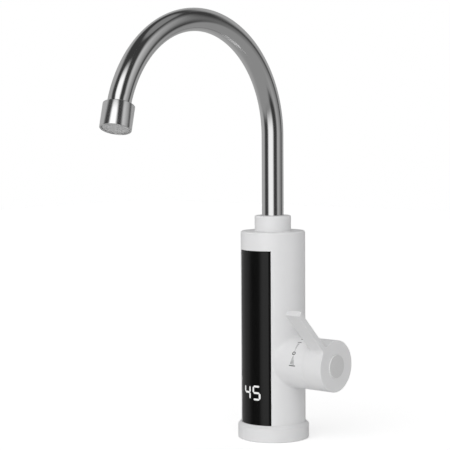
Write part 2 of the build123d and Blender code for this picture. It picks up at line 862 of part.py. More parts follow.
def make_bonnet():
    """Cover of the flow switch, with a guide hole and an upright bracket for the microswitch."""
    bonnet = disc(bonnet_radius, membrane_top, bonnet_top)
    bonnet -= disc(bonnet_cavity_radius, membrane_top, bonnet_ceiling)
    bonnet -= disc(plunger_stem_radius + running_fit, membrane_top, bonnet_top)
    face = switch_width / 2
    half = switch_length / 2
    bonnet += block(-half, half, face, face + switch_bracket_thickness,
                    bonnet_top, switch_bottom + switch_height)
    for side in (-1, 1):
        hole = disc(switch_screw_radius, face, face + switch_bracket_thickness)
        bonnet -= Pos(side * switch_screw_spacing / 2, 0, switch_screw_height) * along_depth(hole)
    return bonnet


def make_plunger():
    head_top = membrane_top + plunger_head_height
    return disc(plunger_head_radius, membrane_top, head_top) + disc(plunger_stem_radius, head_top, button_tip)


def make_plunger_spring():
    """Return spring between the plunger's head and the bonnet's roof, one open helix."""
    bottom = membrane_top + plunger_head_height + spring_wire_radius
    height = bonnet_ceiling - bottom - spring_wire_radius
    path = Pos(0, 0, bottom) * Helix(height / spring_turns, height, spring_radius)
    wire = Plane(origin=path @ 0, z_dir=path % 0) * Circle(spring_wire_radius)
    return sweep(wire, path=path, is_frenet=True)


def make_microswitch():
    half = switch_length / 2
    face = switch_width / 2
    top = switch_bottom + switch_height
    body = block(-half, half, -face, face, switch_bottom, top)
    slot = seat_gap + switch_button_length / 2
    side = seat_gap + switch_button_width / 2
    depth = switch_button_inside + plunger_travel + moving_gap
    body -= block(-slot, slot, -side, side, switch_bottom, switch_bottom + depth)
    for place in (-1, 1):
        hole = disc(switch_screw_radius, -face, face)
        body -= Pos(place * switch_screw_spacing / 2, 0, switch_screw_height) * along_depth(hole)
    for x in (-switch_tab_pitch, 0, switch_tab_pitch):
        body += block(x - switch_tab_width / 2, x + switch_tab_width / 2,
                      -tab_thickness / 2, tab_thickness / 2, top, top + switch_tab_height)
    return body


def make_microswitch_button():
    half = switch_button_length / 2
    side = switch_button_width / 2
    return block(-half, half, -side, side, button_tip, switch_bottom + switch_button_inside)


def make_microswitch_screws():
    length = switch_width + switch_bracket_thickness
    one = screw(switch_screw_radius, switch_screw_head_radius, switch_screw_head_height, length)
    return [Pos(side * switch_screw_spacing / 2, -switch_width / 2, switch_screw_height) * Rot(90, 0, 0) * one
            for side in (-1, 1)]


# Heater

def make_riser():
    return pipe(riser_radius, riser_bore_radius, deck_top, tank_bottom, water_way_offset, riser_distance)


def make_tank_posts():
    post = disc(post_radius, deck_top, tank_bottom)
    return [place * post for place in around(tank_flange_radius - post_inset, post_count, post_angle)]


def make_tank():
    """Water cup with a foot flange and a rim flange."""
    cup = disc(tank_radius, tank_bottom, tank_top)
    cup += disc(tank_flange_radius, tank_bottom, tank_bottom + tank_flange_thickness)
    cup += disc(tank_flange_radius, tank_top - tank_flange_thickness, tank_top)
    cup -= disc(cavity_radius, tank_bottom + tank_flange_thickness, tank_top)
    cup -= disc(riser_bore_radius, tank_bottom, tank_top, water_way_offset, riser_distance)
    cup -= o_ring_groove()
    for place in tank_screw_places():
        cup -= place * disc(tank_screw_radius, tank_top - tank_flange_thickness, tank_top)
    return cup


def tank_screw_places():
    return around(tank_flange_radius - tank_screw_inset, tank_screw_count, tank_screw_angle)


def o_ring_groove():
    """Groove for the lid's seal, cut into the rim."""
    centre = tank_radius - tank_seal_inset
    outer = centre + tank_seal_section
    return pipe(outer, centre - tank_seal_section, tank_top - 2 * tank_seal_section, tank_top)


def make_tank_seal():
    return o_ring(tank_radius - tank_seal_inset, tank_seal_section, tank_top - tank_seal_section)


def make_lid():
    """Lid of the heater with the threaded neck that the spout turns in."""
    lid = disc(tank_flange_radius, tank_top, lid_top)
    lid += disc(neck_radius, lid_top, neck_top)
    lid -= disc(neck_way_radius, tank_top, neck_floor)
    lid -= disc(neck_bore_radius, neck_floor, neck_top)
    for x, y in element_feet():
        lid -= disc(element_radius + seat_gap, tank_top, lid_top, x, y)
    lid -= disc(sensor_radius + seat_gap, tank_top, lid_top, fitting_circle)
    for place in tank_screw_places():
        lid -= place * disc(tank_screw_radius, tank_top, lid_top)
    return lid


def make_tank_screws():
    length = lid_thickness + tank_flange_thickness
    one = screw(tank_screw_radius, tank_screw_head_radius, tank_screw_head_height, length)
    return [place * Pos(0, 0, lid_top) * one for place in tank_screw_places()]


def element_feet():
    """Where the heating rods pass the lid."""
    return [(x, y) for x in (-element_half_span, element_half_span)
            for y in (-element_offset, element_offset)]


def make_heating_element():
    """Two hairpin rods that hang from the lid into the water."""
    bend = element_bottom + element_half_span
    rods = []
    for y in (-element_offset, element_offset):
        section = Pos(element_half_span, y, bend) * Circle(element_radius)
        hairpin = revolve(section, Axis((0, y, bend), (0, 1, 0)), 180)
        for x in (-element_half_span, element_half_span):
            hairpin += disc(element_radius, bend, lid_top + element_rise, x, y)
        rods.append(hairpin)
    return rods


def make_insulators():
    top = lid_top + element_rise
    beads = []
    for x, y in element_feet():
        bead = disc(insulator_radius, lid_top, top + insulator_height, x, y)
        bead -= disc(element_radius + seat_gap, lid_top, top, x, y)
        beads.append(bead - disc(terminal_radius, top, top + insulator_height, x, y))
    return beads


def make_terminals():
    start = lid_top + element_rise
    return [disc(terminal_radius, start, terminal_top, x, y) for x, y in element_feet()]


def make_cutout():
    """Button-shaped thermal cut-out with two tabs."""
    top = lid_top + cutout_height
    body = disc(cutout_radius, lid_top, top)
    tab = Pos(0, 0, top) * Box(cutout_tab_width, tab_thickness, cutout_tab_height, align=ON_END)
    for y in (-cutout_tab_pitch / 2, cutout_tab_pitch / 2):
        body += Pos(0, y, 0) * tab
    return Pos(-(neck_radius + tank_flange_radius) / 2, 0, 0) * body


def make_sensor():
    """Temperature probe screwed through the lid."""
    head = Pos(0, 0, lid_top) * extrude(RegularPolygon(insulator_radius, 6), sensor_head_height)
    return Pos(fitting_circle, 0, 0) * (head + disc(sensor_radius, tank_top - sensor_depth, lid_top))


# Swivel and spout

def make_collar():
    """Cap nut on the neck: clamps the casing's roof and keeps the spout in."""
    collar = disc(collar_radius, casing_top, collar_top)
    collar = round_rims(collar, collar_radius, collar_top, collar_edge_round)
    collar -= disc(neck_radius + seat_gap, casing_top, collar_top - collar_roof)
    return collar - disc(tube_radius + moving_gap, casing_top, collar_top)


def make_slip_ring():
    return pipe(neck_radius - slip_gap, tube_radius + running_fit, foot_top, foot_top + slip_ring_thickness)


def make_spout_foot():
    """Sleeve at the foot of the spout, with two seal grooves."""
    foot = disc(foot_radius, foot_bottom, foot_top)
    foot -= disc(foot_bore_radius, foot_bottom, foot_socket_bottom)
    foot -= disc(tube_radius, foot_socket_bottom, foot_top)
    for height in spout_ring_places:
        reach = spout_ring_section + seat_gap
        foot -= pipe(foot_radius + 1, foot_radius - spout_ring_groove, height - reach, height + reach)
    return foot


def make_spout_rings():
    centre = foot_radius - spout_ring_section
    return [o_ring(centre, spout_ring_section, height) for height in spout_ring_places]


def arch_end():
    """Plane at the end of the arch, whose Z runs with the water."""
    turn = math.radians(arch_angle)
    origin = (0, -arch_radius * (1 - math.cos(turn)), arch_start + arch_radius * math.sin(turn))
    return Plane(origin=origin, x_dir=(1, 0, 0), z_dir=(0, -math.sin(turn), math.cos(turn)))


def tail_start():
    """Plane at the end of the slight bend towards +X that follows the arch. Its Z runs with the water."""
    turn = math.radians(side_bend_angle)
    across = side_bend_radius * (1 - math.cos(turn))
    along = side_bend_radius * math.sin(turn)
    return arch_end() * Pos(across, 0, along) * Rot(0, side_bend_angle, 0)


def make_spout_tube():
    """Gooseneck: an upright run, one arch in the plane X = 0, a slight side bend and a straight tail."""
    pivot = Axis((0, -arch_radius, arch_start), (1, 0, 0))
    side_pivot = Axis((side_bend_radius, 0, 0), (0, 1, 0))

    def solid(radius):
        rise = disc(radius, foot_socket_bottom, arch_start)
        arch = revolve(Pos(0, 0, arch_start) * Circle(radius), pivot, arch_angle)
        bend = arch_end() * revolve(Circle(radius), side_pivot, side_bend_angle)
        tail = tail_start() * Cylinder(radius, tube_tail, align=ON_END)
        return rise + arch + bend + tail

    return solid(tube_radius) - solid(tube_radius - tube_wall)


def aerator_piece(part):
    return tail_start() * part


def make_aerator_housing():
    """Outlet sleeve, with a narrow lip round the stream former."""
    end = aerator_start + aerator_length
    sleeve = disc(aerator_radius, aerator_start, end)
    sleeve = bevel_rims(sleeve, aerator_radius, aerator_start, aerator_edge)
    sleeve = bevel_rims(sleeve, aerator_radius, end, aerator_edge / 2)
    sleeve -= disc(tube_radius + seat_gap, aerator_start, tube_tail)
    sleeve -= disc(aerator_face_radius + seat_gap, tube_tail, end)
    return aerator_piece(sleeve)


def make_aerator_washer():
    end = tube_tail + aerator_washer_thickness
    return aerator_piece(pipe(aerator_face_radius, aerator_washer_bore, tube_tail, end))


def screen_face():
    return aerator_start + aerator_length - aerator_recess


def make_aerator_insert():
    start = tube_tail + aerator_washer_thickness
    end = screen_face() - screen_thickness
    return aerator_piece(pipe(aerator_face_radius, aerator_face_radius - insert_wall, start, end))


def make_aerator_screen():
    plan = Circle(aerator_face_radius)
    plan -= hole_grid(aerator_face_radius - screen_rim, screen_hole_radius, screen_hole_pitch)
    return aerator_piece(Pos(0, 0, screen_face() - screen_thickness) * extrude(plan, screen_thickness))


def lens_with_digits(digits):
    lens = make_lens_blank()
    for bar in digits:
        lens -= bar
    return lens


def all_parts():
    """Every node by its name."""
    digits = make_digits()
    marks = make_scale_marks()
    return {
        "body_shell": make_casing(marks),
        "scale_marks": marks,
        "base_ring": make_base_ring(),
        "base_gasket": make_gasket(),
        "base_plate": make_base_plate(),
        "base_screws": make_base_screws(),
        "inlet_bush": make_inlet_bush(),
        "inlet_filter": make_inlet_filter(),
        "cable_gland": make_cable_gland(),
        "earth_terminal": make_earth_terminal(),
        "valve_body": make_valve_body(),
        "cartridge_body": make_cartridge_body(),
        "cartridge_nut": make_cartridge_nut(),
        "ceramic_disc_fixed": make_fixed_disc(),
        "ceramic_disc_moving": make_moving_disc(),
        "spindle": make_spindle(),
        "spindle_o_ring": make_spindle_ring(),
        "handle_knob": make_knob(),
        "knob_cap": make_knob_cap(),
        "knob_screw": make_knob_screw(),
        "display_lens": lens_with_digits(digits),
        "lit_digits": digits,
        "display_module": make_display_module(),
        "display_board": make_display_board(),
        "display_screws": make_display_screws(),
        "control_board": make_control_board(),
        "control_screws": make_control_screws(),
        "board_components": make_board_components(),
        "switch_membrane": make_membrane(),
        "switch_bonnet": make_bonnet(),
        "switch_plunger": make_plunger(),
        "switch_spring": make_plunger_spring(),
        "microswitch": make_microswitch(),
        "microswitch_button": make_microswitch_button(),
        "microswitch_screws": make_microswitch_screws(),
        "riser_pipe": make_riser(),
        "tank_posts": make_tank_posts(),
        "heater_tank": make_tank(),
        "tank_seal": make_tank_seal(),
        "tank_lid": make_lid(),
        "tank_screws": make_tank_screws(),
        "heating_element": make_heating_element(),
        "terminal_insulators": make_insulators(),
        "element_terminals": make_terminals(),
        "thermal_cutout": make_cutout(),
        "temperature_sensor": make_sensor(),
        "collar_nut": make_collar(),
        "slip_ring": make_slip_ring(),
        "spout_foot": make_spout_foot(),
        "spout_o_rings": make_spout_rings(),
        "spout_tube": make_spout_tube(),
        "aerator_housing": make_aerator_housing(),
        "aerator_washer": make_aerator_washer(),
        "aerator_insert": make_aerator_insert(),
        "aerator_screen": make_aerator_screen(),
    }


def solids_of(part):
    """The plain solids of a part, of a list of parts or of a compound."""
    if isinstance(part, (list, tuple)):
        return [solid for piece in part for solid in solids_of(piece)]
    return list(part.solids())


os.makedirs("parts", exist_ok=True)
for name, part in all_parts().items():
    solids = solids_of(part)
    shape = solids[0] if len(solids) == 1 else Compound(children=solids)
    export_step(shape, f"parts/{name}.step")
    print(f"{name}: {len(solids)} solid(s), {sum(solid.volume for solid in solids) / 1000:.2f} cm3")
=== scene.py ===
# %% [markdown]
# An electric instant water heater tap: a painted casing with a black display, a lever handle on the side
# and a chrome gooseneck spout on top. The CAD model already holds every solid at its true size, so it is
# loaded as a fixed frame. This script gives each surface its finish, and models anew what a CAD mesh
# shows too plainly: the polished spout, the outlet sleeve and the fine trim.

# %% Load the frame
import json
import math

import bpy
from mathutils import Matrix, Vector


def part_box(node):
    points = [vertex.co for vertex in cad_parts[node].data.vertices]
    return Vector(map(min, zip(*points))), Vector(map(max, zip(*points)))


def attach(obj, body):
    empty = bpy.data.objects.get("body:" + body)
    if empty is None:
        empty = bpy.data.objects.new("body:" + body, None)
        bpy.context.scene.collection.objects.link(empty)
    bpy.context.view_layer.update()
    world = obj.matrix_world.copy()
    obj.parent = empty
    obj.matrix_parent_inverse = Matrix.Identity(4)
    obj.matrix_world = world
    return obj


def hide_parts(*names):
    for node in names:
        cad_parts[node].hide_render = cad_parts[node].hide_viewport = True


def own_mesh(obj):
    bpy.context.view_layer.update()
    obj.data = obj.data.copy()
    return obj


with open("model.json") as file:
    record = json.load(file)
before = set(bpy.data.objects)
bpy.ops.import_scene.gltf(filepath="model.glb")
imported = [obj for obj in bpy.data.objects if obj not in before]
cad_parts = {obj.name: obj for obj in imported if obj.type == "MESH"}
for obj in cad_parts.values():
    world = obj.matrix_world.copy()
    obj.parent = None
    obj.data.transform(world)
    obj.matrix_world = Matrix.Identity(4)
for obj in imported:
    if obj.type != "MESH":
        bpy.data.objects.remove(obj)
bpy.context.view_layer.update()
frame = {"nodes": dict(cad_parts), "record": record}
nodes = frame["nodes"]
bpy.ops.object.select_all(action="DESELECT")
mm = 0.001

# %% [markdown]
# The photograph was taken a little from the right and slightly from above the tap's middle, with a long lens,
# so upright edges stay nearly parallel. The place, the turn and the lens were worked out from the edges of
# the casing, the spout's arch and the handle. A long lens far away is chosen over a short one close by,
# because the casing's sides don't draw together towards the base.

# %% Camera
camera_azimuth = math.radians(39.2)
camera_distance = 1336.63 * mm
camera_height = 275.58 * mm
camera_yaw = math.radians(1.793)
camera_pitch = math.radians(-3.793)
camera_roll = math.radians(-0.344)

camera_data = bpy.data.cameras.new("Camera")
camera_data.lens = 122.48
camera_data.sensor_width = 36.0
camera = bpy.data.objects.new("Camera", camera_data)
bpy.context.scene.collection.objects.link(camera)
place = Vector((camera_distance * math.sin(camera_azimuth), -camera_distance * math.cos(camera_azimuth),
                camera_height))
turn = Matrix.Rotation(camera_azimuth + camera_yaw, 4, "Z")
tilt = Matrix.Rotation(math.radians(90) + camera_pitch, 4, "X")
roll = Matrix.Rotation(camera_roll, 4, "Z")
camera.matrix_world = Matrix.Translation(place) @ turn @ tilt @ roll
bpy.context.scene.camera = camera
bpy.context.scene.view_settings.view_transform = "Standard"
print("Camera at", tuple(round(value, 3) for value in place))

# %% [markdown]
# Node graphs are easier to read as sums than as boxes and wires. One small class wraps a node's output, so
# that adding or multiplying two of them adds the Math node that does it. Any other node comes from its one
# method, which takes the node's type, its settings and what goes into its sockets.

# %% Wires for node graphs
class Wire:
    """An output in a node graph, or the bare graph while it has no output yet."""

    def __init__(self, tree, socket=None):
        self.tree = tree
        self.socket = socket

    def node(self, kind, settings, inputs, output=0):
        """Adds a node: its settings first, then its inputs. Gives the chosen output."""
        made = self.tree.nodes.new(kind)
        for name, value in settings.items():
            setattr(made, name, value)
        for name, value in inputs.items():
            if isinstance(value, Wire):
                self.tree.links.new(value.socket, made.inputs[name])
            else:
                made.inputs[name].default_value = value
        return Wire(self.tree, made.outputs[output] if made.outputs else None)

    def output(self, name):
        """Another output of the node that this one comes from."""
        return Wire(self.tree, self.socket.node.outputs[name])

    def sum_node(self, operation, first, second=0.0):
        return self.node("ShaderNodeMath", {"operation": operation}, {0: first, 1: second})

    def __add__(self, other):
        return self.sum_node("ADD", self, other)

    def __radd__(self, other):
        return self.sum_node("ADD", other, self)

    def __sub__(self, other):
        return self.sum_node("SUBTRACT", self, other)

    def __rsub__(self, other):
        return self.sum_node("SUBTRACT", other, self)

    def __mul__(self, other):
        return self.sum_node("MULTIPLY", self, other)

    def __rmul__(self, other):
        return self.sum_node("MULTIPLY", other, self)

    def rise(self, start, end, low=0.0, high=1.0):
        """Goes smoothly from low to high while this value goes from start to end."""
        return self.node("ShaderNodeMapRange", {"interpolation_type": "SMOOTHSTEP"},
                         {"Value": self, "From Min": start, "From Max": end, "To Min": low, "To Max": high})

    def within(self, start, end, soft):
        """One between start and end, fading to nothing over a width of soft at each side."""
        past_start = self.rise(start - soft / 2, start + soft / 2)
        past_end = self.rise(end - soft / 2, end + soft / 2)
        return past_start * (1.0 - past_end)

    def mix_colour(self, factor, first, second):
        """Blends two colours. Sockets go by number here, as the node has the same names for plain values."""
        return self.node("ShaderNodeMix", {"data_type": "RGBA"}, {0: factor, 6: first, 7: second}, output=2)

    def as_grey(self, low, high):
        """A grey that goes from low to high while this value goes from zero to one."""
        return self.mix_colour(self, grey(low), grey(high))

    def as_relief(self, depth):
        """A normal that takes this value as a height, where one stands for the depth in millimetres."""
        return self.node("ShaderNodeBump", {}, {"Strength": 1.0, "Distance": depth * mm, "Height": self})

    def place(self, stretch=(1, 1, 1)):
        """Where a point is on the object, in metres, with each axis scaled."""
        spot = self.node("ShaderNodeTexCoord", {}, {}, output="Object")
        return self.node("ShaderNodeMapping", {}, {"Vector": spot, "Scale": stretch})

    def noise(self, size, detail, place=None):
        """Cloudy values round one half, with clouds of about the given size in metres."""
        return self.node("ShaderNodeTexNoise", {}, {"Vector": place or self.place(), "Scale": 1 / size,
                                                    "Detail": detail}, output="Fac")


def grey(value):
    return (value, value, value, 1)


def as_colour(tone):
    return (*tone, 1)


def new_finish(name):
    """A material with an empty graph, and the wire that starts it."""
    material = bpy.data.materials.new(name)
    material.use_nodes = True
    material.node_tree.nodes.clear()
    print("New finish", name)
    return material, Wire(material.node_tree)


def close_finish(wire, sockets):
    """Ends a graph in one Principled shader with the given values or links."""
    shader = wire.node("ShaderNodeBsdfPrincipled", {}, sockets)
    wire.node("ShaderNodeOutputMaterial", {}, {"Surface": shader})


print("Wires can", sorted(name for name in vars(Wire) if not name.startswith("_")))

# %% [markdown]
# Polished metal shows little of itself: it shows the studio. On this spout the photograph reads as a tall
# white softbox on the camera's left, a dim grey panel on the right, another one behind, a grey floor and a
# dim round lamp overhead. The panels could be real lamps, but then they would also light the paint. In the
# world's nodes they are a drawing on the sky that only mirrored rays see, while the paint gets a soft, even
# light that is stronger from the front left, and the camera sees plain white. Places on this sky are in
# degrees: a bearing starts at the camera and grows to its right, an elevation grows from the horizon up.
# Each pair called a fade says where something starts to change and where the change ends.

# %% Studio
studio = bpy.data.worlds.new("Studio")
studio.use_nodes = True
studio.cycles.sampling_method = "NONE"
bpy.context.scene.world = studio
studio.node_tree.nodes.clear()
sky = Wire(studio.node_tree)

direction = sky.node("ShaderNodeTexCoord", {}, {}, output="Generated")
facing_camera = sky.node("ShaderNodeVectorRotate", {"rotation_type": "Z_AXIS"},
                         {"Vector": direction, "Angle": math.radians(90) - camera_azimuth})
ahead = sky.node("ShaderNodeSeparateXYZ", {}, {"Vector": facing_camera}, output="X")
across = ahead.output("Y")
upward = ahead.output("Z")
to_degrees = 180 / math.pi
bearing = across.sum_node("ARCTAN2", across, ahead) * to_degrees
elevation = upward.sum_node("ARCSINE", upward) * to_degrees

floor_level = 0.30
floor_level_behind = 0.41
floor_front_left = -112.0
floor_front_right = 158.0
floor_front_edge = 60.0
floor_far_fade = (-75.0, -40.0)
floor_under_share = 0.2
behind = 1.0 - bearing.within(floor_front_left, floor_front_right, floor_front_edge)
behind = behind * elevation.rise(*floor_far_fade, floor_under_share, 1.0)
floor_glow = floor_level + behind * (floor_level_behind - floor_level)

horizon_fade = (-24.0, -10.0)
dip_left = -50.0
dip_middle = 8.0
dip_right = 38.0
dip_edge = 16.0
dip_depth = 8.0
dip_extra_depth = 4.0
lowered = bearing.within(dip_left, dip_right, dip_edge) * dip_depth
lowered = lowered + bearing.within(dip_middle, dip_right, dip_edge) * dip_extra_depth
below_horizon = 1.0 - (elevation + lowered).rise(*horizon_fade)
print("Mirrored floor")

# %% Softbox at the front left
softbox_left = -45.0
softbox_right = 7.5
softbox_edge = 21.0
softbox_middle = -18.5
softbox_foot_fade = (-34.0, -4.0)
softbox_top_fade = (42.0, 64.0)
softbox_top_curve = 0.006
softbox_glow_fade = (-6.0, 26.0)
softbox_glow = (1.01, 1.17)
from_middle = bearing - softbox_middle
top_edge = elevation + from_middle * from_middle * softbox_top_curve
softbox = bearing.within(softbox_left, softbox_right, softbox_edge)
softbox = softbox * elevation.rise(*softbox_glow_fade, *softbox_glow)
softbox = softbox * elevation.rise(*softbox_foot_fade) * (1.0 - top_edge.rise(*softbox_top_fade))
print("Mirrored softbox from bearing", softbox_left, "to", softbox_right)

# %% Side panel
side_left = 48.5
side_right = 98.0
side_edge = 20.0
side_lean_fade = (20.0, 50.0)
side_lean = 6.0
side_glow_fade = (52.0, 95.0)
side_glow = (0.57, 0.28)
side_foot_fade = (-12.0, 16.0)
side_foot_share = 0.64
side_top_fade = (30.0, 58.0)
leaning = bearing - elevation.rise(*side_lean_fade, 0.0, side_lean)
side_panel = leaning.within(side_left, side_right, side_edge) * leaning.rise(*side_glow_fade, *side_glow)
side_panel = side_panel * elevation.rise(*side_foot_fade, side_foot_share, 1.0)
side_panel = side_panel * (1.0 - elevation.rise(*side_top_fade))
print("Mirrored side panel from bearing", side_left, "to", side_right)

# %% Back panel
back_left_fade = (-103.0, -78.0)
back_right_fade = (105.0, 125.0)
back_lean_fade = (15.0, 45.0)
back_lean = 20.0
back_top_fade = (38.0, 56.0)
back_glow_fade = (-90.0, 90.0)
back_glow = (0.39, 0.35)
right_edge = bearing - elevation.rise(*back_lean_fade, 0.0, back_lean)
back_panel = 1.0 - bearing.rise(*back_left_fade) * (1.0 - right_edge.rise(*back_right_fade))
back_panel = back_panel * (1.0 - elevation.rise(*back_top_fade))
back_panel = back_panel * bearing.rise(*back_glow_fade, *back_glow)
print("Mirrored back panel, levels", back_glow)

# %% Overhead lamp
lamp_bearing = math.radians(110.0)
lamp_elevation = math.radians(76.0)
lamp_rim_fade = (14.0, 23.0)
lamp_level = 0.20
towards_lamp = Vector((math.cos(lamp_bearing) * math.cos(lamp_elevation),
                       math.sin(lamp_bearing) * math.cos(lamp_elevation), math.sin(lamp_elevation)))
lamp_nearness = facing_camera.node("ShaderNodeVectorMath", {"operation": "DOT_PRODUCT"},
                                   {0: facing_camera, 1: towards_lamp}, output="Value")
off_lamp = lamp_nearness.sum_node("ARCCOSINE", lamp_nearness) * to_degrees
overhead_lamp = (1.0 - off_lamp.rise(*lamp_rim_fade)) * lamp_level

dark_level = 0.05
above = dark_level + softbox + side_panel + back_panel + overhead_lamp
mirrored = above + below_horizon * (floor_glow - above)
print("Mirrored lamp overhead, towards", tuple(round(value, 2) for value in towards_lamp))

# %% Soft light on the paint
soft_azimuth = math.radians(-21.0)
soft_elevation = math.radians(2.0)
soft_level = 0.472
soft_lobe = 1.60
towards_light = Vector((math.cos(soft_azimuth) * math.cos(soft_elevation),
                        math.sin(soft_azimuth) * math.cos(soft_elevation), math.sin(soft_elevation)))
lean = facing_camera.node("ShaderNodeVectorMath", {"operation": "DOT_PRODUCT"},
                          {0: facing_camera, 1: towards_light}, output="Value")
facing_light = lean.sum_node("MAXIMUM", lean, 0.0)
soft_light = soft_level + facing_light * facing_light * soft_lobe

seen_by_camera = sky.node("ShaderNodeLightPath", {}, {}, output="Is Camera Ray")
seen_in_mirror = seen_by_camera.output("Is Glossy Ray")
lit = seen_in_mirror * mirrored + (1.0 - seen_in_mirror) * soft_light
level = seen_by_camera + (1.0 - seen_by_camera) * lit
background = sky.node("ShaderNodeBackground", {}, {"Color": grey(1.0), "Strength": level})
sky.node("ShaderNodeOutputWorld", {}, {"Surface": background})
print("Soft light from", tuple(round(value, 2) for value in towards_light))

# %% [markdown]
# The floor is a plain pale sheet. The camera sees it as bright as the white behind it, by a little light of
# its own on camera rays, and still sees the soft shadow where the base stands. Mirrors don't see the sheet,
# because the drawn studio has its own floor.

# %% Floor
floor_size = 6.0
floor_tone = 0.88
floor_mottle = 0.02
floor_speck = 4.0 * mm
floor_roughness = 0.8
floor_lift = 0.45

bpy.ops.mesh.primitive_plane_add(size=floor_size)
floor = bpy.context.object
floor.name = "floor"
floor.visible_glossy = False
floor_finish, wire = new_finish("floor_paper")
tone = wire.noise(floor_speck, detail=2.0).as_grey(floor_tone, floor_tone + floor_mottle)
paper = wire.node("ShaderNodeBsdfPrincipled", {}, {"Base Color": tone, "Roughness": floor_roughness})
shine = wire.node("ShaderNodeEmission", {}, {"Color": grey(1.0), "Strength": floor_lift})
both = wire.node("ShaderNodeAddShader", {}, {0: paper, 1: shine})
seen = wire.node("ShaderNodeLightPath", {}, {}, output="Is Camera Ray")
surface = wire.node("ShaderNodeMixShader", {}, {0: seen, 1: paper, 2: both})
wire.node("ShaderNodeOutputMaterial", {}, {"Surface": surface})
floor.data.materials.append(floor_finish)

# %% [markdown]
# Sprayed paint and moulded plastic are never one flat colour. Paint has a slight orange peel, plastic has
# the fine texture of its mould, and both are a little more or less shiny from place to place. Two layers of
# noise do this: a wide one for tone and shine, and a fine one for the relief. The same recipe with other
# numbers serves all the plain finishes, so it is one function.

# %% Plain finishes
usual_noise = (0.3, 0.7)
noise_middle = 0.5
patch_size = 9.0 * mm


def grained(name, tone, shine, grain, relief, mottle=0.012, metal=0.0, stretch=(1, 1, 1)):
    """A finish of one tone with a grain. Shine is its least and its most roughness, and the grain's size
    and relief are in millimetres."""
    finish, wire = new_finish(name)
    place = wire.place(stretch)
    wide = wire.noise(patch_size, detail=2.0, place=place)
    fine = wire.noise(grain * mm, detail=3.0, place=place)
    dark = as_colour([value * (1 - mottle) for value in tone])
    light = as_colour([min(1.0, value * (1 + mottle)) for value in tone])
    least, most = shine
    rough = wide.rise(*usual_noise, least, most) + (fine - noise_middle) * (most - least)
    close_finish(wire, {"Base Color": wire.mix_colour(wide, dark, light), "Roughness": rough,
                        "Normal": fine.as_relief(relief), "Metallic": metal})
    return finish


finishes = {
    "casing": grained("casing_paint", (0.80, 0.80, 0.805), shine=(0.30, 0.36), grain=1.2, relief=0.004),
    "base": grained("base_paint", (0.775, 0.775, 0.78), shine=(0.32, 0.38), grain=1.2, relief=0.004),
    "collar": grained("collar_paint", (0.80, 0.80, 0.805), shine=(0.30, 0.36), grain=1.0, relief=0.004),
    "handle": grained("handle_paint", (0.785, 0.785, 0.79), shine=(0.38, 0.42), grain=0.8, relief=0.004),
    "print": grained("scale_ink", (0.09, 0.09, 0.093), shine=(0.50, 0.60), grain=0.3, relief=0.002,
                     mottle=0.05),
    "outlet_plastic": grained("outlet_plastic", (0.60, 0.60, 0.60), shine=(0.45, 0.60), grain=0.4,
                              relief=0.006, mottle=0.03),
    "rubber": grained("black_rubber", (0.035, 0.035, 0.035), shine=(0.70, 0.85), grain=0.35, relief=0.02,
                      mottle=0.2),
    "brass": grained("turned_brass", (0.74, 0.55, 0.26), shine=(0.22, 0.38), grain=0.25, relief=0.006,
                     metal=1.0, stretch=(1, 1, 12)),
    "ceramic": grained("ground_ceramic", (0.90, 0.89, 0.85), shine=(0.18, 0.28), grain=0.2, relief=0.001,
                       mottle=0.02),
    "steel": grained("drawn_steel", (0.58, 0.58, 0.60), shine=(0.24, 0.40), grain=0.2, relief=0.004,
                     metal=1.0, stretch=(1, 1, 8)),
    "dark_plastic": grained("dark_plastic", (0.03, 0.03, 0.033), shine=(0.45, 0.60), grain=0.5, relief=0.01,
                            mottle=0.15),
    "white_plastic": grained("natural_plastic", (0.80, 0.80, 0.77), shine=(0.38, 0.50), grain=0.7,
                             relief=0.008, mottle=0.02),
}
print("Plain finishes", sorted(finishes))

# %% [markdown]
# The knob's cap is white at its side, and only its face carries a grey disc. The side's white is lighter than
# the knob's paint: painted light that brightens the side. One material can do both: it asks how far out a
# point lies, and turns from white to grey just before the face.

# %% Cap
cap_low, cap_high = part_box("knob_cap")
# The side's tone is lighter than the knob's paint: painted light on the cap's side.
side_tone_with_painted_light = 0.90
face_tone = 0.655
face_mottle = 0.01
white_until_depth = 0.08 * mm
grey_at_depth = 0.02 * mm
cap_shine = (0.40, 0.48)
cap_cloud = 6.0 * mm
cap_grain = 0.6 * mm
cap_relief = 0.004

cap_finish, wire = new_finish("cap_plastic")
spot = wire.node("ShaderNodeTexCoord", {}, {}, output="Object")
outwards = spot.node("ShaderNodeSeparateXYZ", {}, {"Vector": spot}, output="X")
cloud = wire.noise(cap_cloud, detail=2.0)
grain = wire.noise(cap_grain, detail=3.0)
face_colour = cloud.as_grey(face_tone - face_mottle, face_tone + face_mottle)
at_face = outwards.rise(cap_high.x - white_until_depth, cap_high.x - grey_at_depth)
colour = wire.mix_colour(at_face, grey(side_tone_with_painted_light), face_colour)
close_finish(wire, {"Base Color": colour, "Roughness": cloud.rise(*usual_noise, *cap_shine),
                    "Normal": grain.as_relief(cap_relief)})
finishes["cap"] = cap_finish

# %% [markdown]
# A circuit board is a green lacquer over copper tracks, which stand out as slightly lighter, raised lines.
# Real tracks run square to each other. A brick pattern with thin mortar gives such lines.

# %% Circuit board
board_green = (0.012, 0.10, 0.035)
track_green = (0.03, 0.19, 0.07)
track_pitch = 2.2 * mm
track_width = 0.12
track_run = 1.7
track_row = 0.8
track_shift = 0.37
track_height = 0.03
board_shine = (0.35, 0.25)

board_finish, wire = new_finish("board_lacquer")
tracks = wire.node("ShaderNodeTexBrick", {"offset": track_shift, "squash": 1.0},
                   {"Vector": wire.place(), "Scale": 1 / track_pitch, "Mortar Size": track_width,
                    "Brick Width": track_run, "Row Height": track_row}, output="Fac")
colour = wire.mix_colour(tracks, as_colour(board_green), as_colour(track_green))
close_finish(wire, {"Base Color": colour, "Roughness": tracks.rise(0.0, 1.0, *board_shine),
                    "Normal": tracks.as_relief(track_height)})
finishes["board"] = board_finish

